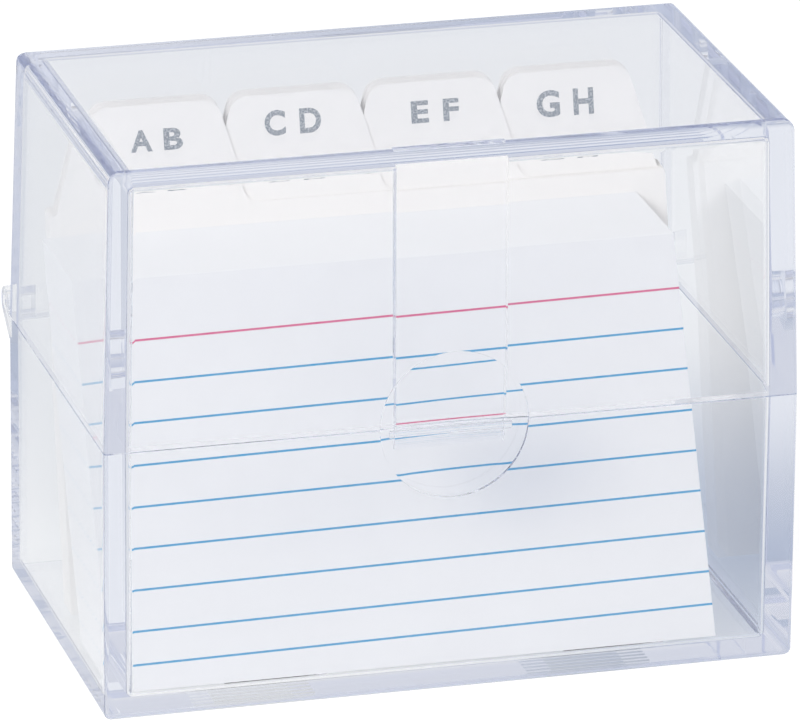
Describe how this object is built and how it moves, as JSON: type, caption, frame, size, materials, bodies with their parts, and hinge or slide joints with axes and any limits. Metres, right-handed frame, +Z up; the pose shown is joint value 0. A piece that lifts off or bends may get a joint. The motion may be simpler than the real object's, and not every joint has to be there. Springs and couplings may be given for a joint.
{
  "type": "index card box",
  "caption": "Small clear box with a hinged snap lid that holds a stack of ruled index cards and tabbed letter dividers on a ridged floor.",
  "frame": {"origin": "middle of the flat underside of the tray, hinge ears left out", "axes": "+X to the right seen from the front, +Y from the front to the hinge, +Z up"},
  "size_m": [0.0872, 0.0555, 0.0697],
  "materials": {
    "clear_plastic": "clear, polished, injection-moulded",
    "ruled_card": "smooth white card, printed ruling",
    "divider_card": "smooth off-white sheet, silver foil letters on the tabs"
  },
  "bodies": {
    "base_tray": {"base_tray": "clear_plastic"},
    "lid": {"lid": "clear_plastic"},
    "front_card": {"front_card": "ruled_card"},
    "card_packet_01": {"card_packet_01": "ruled_card"},
    "card_packet_02": {"card_packet_02": "ruled_card"},
    "card_packet_03": {"card_packet_03": "ruled_card"},
    "card_packet_04": {"card_packet_04": "ruled_card"},
    "card_packet_05": {"card_packet_05": "ruled_card"},
    "card_packet_06": {"card_packet_06": "ruled_card"},
    "card_packet_07": {"card_packet_07": "ruled_card"},
    "card_packet_08": {"card_packet_08": "ruled_card"},
    "card_packet_09": {"card_packet_09": "ruled_card"},
    "card_packet_10": {"card_packet_10": "ruled_card"},
    "card_packet_11": {"card_packet_11": "ruled_card"},
    "divider_ab": {"divider_ab": "divider_card"},
    "divider_cd": {"divider_cd": "divider_card"},
    "divider_ef": {"divider_ef": "divider_card"},
    "divider_gh": {"divider_gh": "divider_card"},
    "divider_ij": {"divider_ij": "divider_card"},
    "divider_kl": {"divider_kl": "divider_card"},
    "divider_mn": {"divider_mn": "divider_card"},
    "divider_op": {"divider_op": "divider_card"},
    "divider_qr": {"divider_qr": "divider_card"},
    "divider_st": {"divider_st": "divider_card"},
    "divider_uv": {"divider_uv": "divider_card"},
    "divider_wz": {"divider_wz": "divider_card"}
  },
  "joints": [
    {"name": "lid_hinge", "type": "hinge", "parent": "base_tray", "child": "lid", "pos_m": [0, 0.0279, 0.0356], "axis": [-1, 0, 0], "range_deg": [0, 180]},
    {"name": "front_card_tilt", "type": "hinge", "parent": "base_tray", "child": "front_card", "pos_m": [0, -0.0222, 0.00271], "axis": [1, 0, 0], "range_deg": [0, 19.36]},
    {"name": "card_packet_01_tilt", "type": "hinge", "parent": "base_tray", "child": "card_packet_01", "pos_m": [0, -0.02202, 0.00271], "axis": [1, 0, 0], "range_deg": [0, 19.35]},
    {"name": "card_packet_02_tilt", "type": "hinge", "parent": "base_tray", "child": "card_packet_02", "pos_m": [0, -0.02057, 0.00271], "axis": [1, 0, 0], "range_deg": [0, 19.36]},
    {"name": "card_packet_03_tilt", "type": "hinge", "parent": "base_tray", "child": "card_packet_03", "pos_m": [0, -0.01912, 0.00271], "axis": [1, 0, 0], "range_deg": [0, 19.36]},
    {"name": "card_packet_04_tilt", "type": "hinge", "parent": "base_tray", "child": "card_packet_04", "pos_m": [0, -0.01767, 0.00271], "axis": [1, 0, 0], "range_deg": [0, 19.36]},
    {"name": "card_packet_05_tilt", "type": "hinge", "parent": "base_tray", "child": "card_packet_05", "pos_m": [0, -0.01622, 0.00271], "axis": [1, 0, 0], "range_deg": [0, 19.36]},
    {"name": "card_packet_06_tilt", "type": "hinge", "parent": "base_tray", "child": "card_packet_06", "pos_m": [0, -0.01477, 0.00271], "axis": [1, 0, 0], "range_deg": [0, 19.36]},
    {"name": "card_packet_07_tilt", "type": "hinge", "parent": "base_tray", "child": "card_packet_07", "pos_m": [0, -0.01333, 0.00271], "axis": [1, 0, 0], "range_deg": [0, 19.36]},
    {"name": "card_packet_08_tilt", "type": "hinge", "parent": "base_tray", "child": "card_packet_08", "pos_m": [0, -0.01188, 0.00271], "axis": [1, 0, 0], "range_deg": [0, 19.36]},
    {"name": "card_packet_09_tilt", "type": "hinge", "parent": "base_tray", "child": "card_packet_09", "pos_m": [0, -0.01043, 0.00271], "axis": [1, 0, 0], "range_deg": [0, 19.36]},
    {"name": "card_packet_10_tilt", "type": "hinge", "parent": "base_tray", "child": "card_packet_10", "pos_m": [0, -0.00898, 0.00271], "axis": [1, 0, 0], "range_deg": [0, 19.36]},
    {"name": "card_packet_11_tilt", "type": "hinge", "parent": "base_tray", "child": "card_packet_11", "pos_m": [0, -0.00753, 0.00271], "axis": [1, 0, 0], "range_deg": [0, 19.36]},
    {"name": "divider_ab_tilt", "type": "hinge", "parent": "base_tray", "child": "divider_ab", "pos_m": [0, 0.00303, 0.00269], "axis": [1, 0, 0], "range_deg": [0, 9.16]},
    {"name": "divider_cd_tilt", "type": "hinge", "parent": "base_tray", "child": "divider_cd", "pos_m": [0, 0.0034, 0.00269], "axis": [1, 0, 0], "range_deg": [0, 9.01]},
    {"name": "divider_ef_tilt", "type": "hinge", "parent": "base_tray", "child": "divider_ef", "pos_m": [0, 0.00377, 0.00269], "axis": [1, 0, 0], "range_deg": [0, 8.86]},
    {"name": "divider_gh_tilt", "type": "hinge", "parent": "base_tray", "child": "divider_gh", "pos_m": [0, 0.00414, 0.00269], "axis": [1, 0, 0], "range_deg": [0, 8.71]},
    {"name": "divider_ij_tilt", "type": "hinge", "parent": "base_tray", "child": "divider_ij", "pos_m": [0, 0.00451, 0.00269], "axis": [1, 0, 0], "range_deg": [0, 8.56]},
    {"name": "divider_kl_tilt", "type": "hinge", "parent": "base_tray", "child": "divider_kl", "pos_m": [0, 0.00488, 0.00269], "axis": [1, 0, 0], "range_deg": [0, 8.41]},
    {"name": "divider_mn_tilt", "type": "hinge", "parent": "base_tray", "child": "divider_mn", "pos_m": [0, 0.00525, 0.00269], "axis": [1, 0, 0], "range_deg": [0, 8.26]},
    {"name": "divider_op_tilt", "type": "hinge", "parent": "base_tray", "child": "divider_op", "pos_m": [0, 0.00562, 0.00269], "axis": [1, 0, 0], "range_deg": [0, 8.11]},
    {"name": "divider_qr_tilt", "type": "hinge", "parent": "base_tray", "child": "divider_qr", "pos_m": [0, 0.00599, 0.00269], "axis": [1, 0, 0], "range_deg": [0, 7.96]},
    {"name": "divider_st_tilt", "type": "hinge", "parent": "base_tray", "child": "divider_st", "pos_m": [0, 0.00636, 0.00269], "axis": [1, 0, 0], "range_deg": [0, 7.81]},
    {"name": "divider_uv_tilt", "type": "hinge", "parent": "base_tray", "child": "divider_uv", "pos_m": [0, 0.00673, 0.00269], "axis": [1, 0, 0], "range_deg": [0, 7.66]},
    {"name": "divider_wz_tilt", "type": "hinge", "parent": "base_tray", "child": "divider_wz", "pos_m": [0, 0.0071, 0.00269], "axis": [1, 0, 0], "range_deg": [0, 7.51]}
  ],
  "couplings": [
    {"joint": "front_card_tilt", "follows": "card_packet_01_tilt", "ratio": 1},
    {"joint": "card_packet_02_tilt", "follows": "card_packet_01_tilt", "ratio": 1},
    {"joint": "card_packet_03_tilt", "follows": "card_packet_01_tilt", "ratio": 1},
    {"joint": "card_packet_04_tilt", "follows": "card_packet_01_tilt", "ratio": 1},
    {"joint": "card_packet_05_tilt", "follows": "card_packet_01_tilt", "ratio": 1},
    {"joint": "card_packet_06_tilt", "follows": "card_packet_01_tilt", "ratio": 1},
    {"joint": "card_packet_07_tilt", "follows": "card_packet_01_tilt", "ratio": 1},
    {"joint": "card_packet_08_tilt", "follows": "card_packet_01_tilt", "ratio": 1},
    {"joint": "card_packet_09_tilt", "follows": "card_packet_01_tilt", "ratio": 1},
    {"joint": "card_packet_10_tilt", "follows": "card_packet_01_tilt", "ratio": 1},
    {"joint": "card_packet_11_tilt", "follows": "card_packet_01_tilt", "ratio": 1},
    {"joint": "divider_ab_tilt", "follows": "card_packet_01_tilt", "ratio": 0.473},
    {"joint": "divider_cd_tilt", "follows": "card_packet_01_tilt", "ratio": 0.4653},
    {"joint": "divider_ef_tilt", "follows": "card_packet_01_tilt", "ratio": 0.4576},
    {"joint": "divider_gh_tilt", "follows": "card_packet_01_tilt", "ratio": 0.4499},
    {"joint": "divider_ij_tilt", "follows": "card_packet_01_tilt", "ratio": 0.4421},
    {"joint": "divider_kl_tilt", "follows": "card_packet_01_tilt", "ratio": 0.4343},
    {"joint": "divider_mn_tilt", "follows": "card_packet_01_tilt", "ratio": 0.4266},
    {"joint": "divider_op_tilt", "follows": "card_packet_01_tilt", "ratio": 0.4188},
    {"joint": "divider_qr_tilt", "follows": "card_packet_01_tilt", "ratio": 0.411},
    {"joint": "divider_st_tilt", "follows": "card_packet_01_tilt", "ratio": 0.4032},
    {"joint": "divider_uv_tilt", "follows": "card_packet_01_tilt", "ratio": 0.3954},
    {"joint": "divider_wz_tilt", "follows": "card_packet_01_tilt", "ratio": 0.3876}
  ]
}
